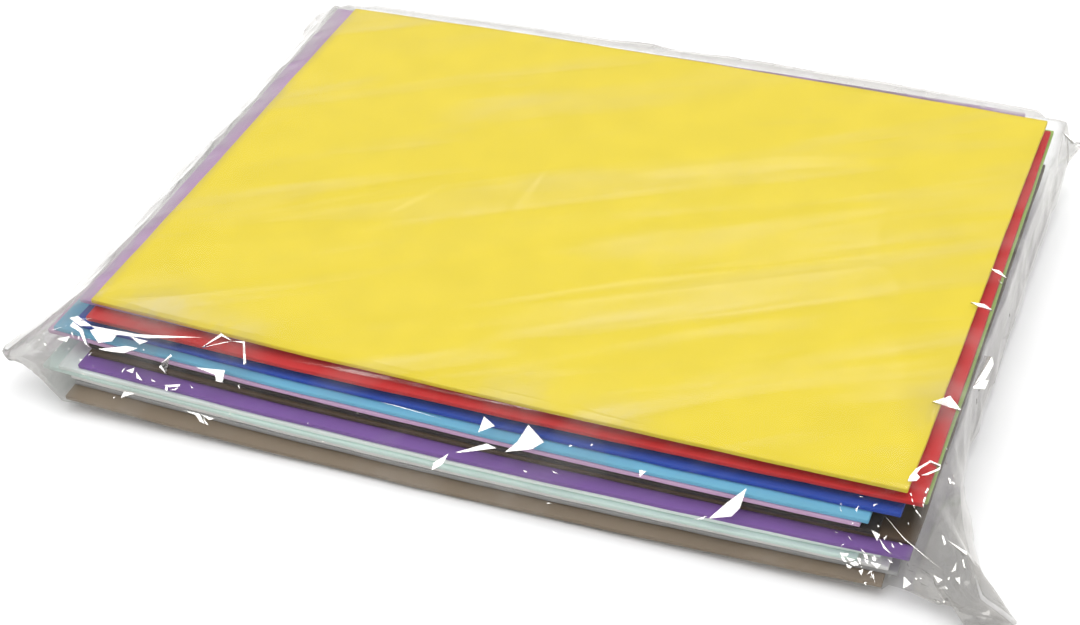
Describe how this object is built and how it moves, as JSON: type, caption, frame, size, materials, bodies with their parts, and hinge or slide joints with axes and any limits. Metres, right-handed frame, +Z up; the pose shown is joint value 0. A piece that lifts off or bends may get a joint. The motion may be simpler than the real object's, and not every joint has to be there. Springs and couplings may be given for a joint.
{
  "type": "pack of craft foam sheets",
  "caption": "Flat fanned stack of soft coloured foam sheets in a clear film bag with sealed ends and pointed corner ears.",
  "frame": {"origin": "centre of the pack's outline on the floor it lies on", "axes": "+X along the long edge of the sheets, +Y away from the viewer, +Z up through the stack"},
  "size_m": [0.367, 0.2426, 0.0335],
  "materials": {
    "foam_yellow": "matt fine closed-cell foam, softly die-cut edges",
    "foam_lilac": "matt fine closed-cell foam, softly die-cut edges",
    "foam_red": "matt fine closed-cell foam, softly die-cut edges",
    "foam_lime": "matt fine closed-cell foam, softly die-cut edges",
    "foam_royal_blue": "matt fine closed-cell foam, softly die-cut edges",
    "foam_sky_blue": "matt fine closed-cell foam, softly die-cut edges",
    "foam_pink": "matt fine closed-cell foam, softly die-cut edges",
    "foam_black": "matt fine closed-cell foam, softly die-cut edges",
    "foam_brown": "matt fine closed-cell foam, softly die-cut edges",
    "foam_purple": "matt fine closed-cell foam, softly die-cut edges",
    "foam_pale_mint": "matt fine closed-cell foam, softly die-cut edges",
    "foam_mint": "matt fine closed-cell foam, softly die-cut edges",
    "foam_white": "matt fine closed-cell foam, softly die-cut edges",
    "foam_grey": "matt fine closed-cell foam, softly die-cut edges",
    "foam_taupe": "matt fine closed-cell foam, softly die-cut edges",
    "clear_film": "clear glossy thin plastic film with soft creases"
  },
  "bodies": {
    "root": {"sheet_yellow": "foam_yellow", "sheet_lilac": "foam_lilac", "sheet_red": "foam_red", "sheet_lime": "foam_lime", "sheet_royal_blue": "foam_royal_blue", "sheet_sky_blue": "foam_sky_blue", "sheet_pink": "foam_pink", "sheet_black": "foam_black", "sheet_brown": "foam_brown", "sheet_purple": "foam_purple", "sheet_pale_mint": "foam_pale_mint", "sheet_mint": "foam_mint", "sheet_white": "foam_white", "sheet_grey": "foam_grey", "sheet_taupe": "foam_taupe", "bag": "clear_film"}
  },
  "joints": []
}
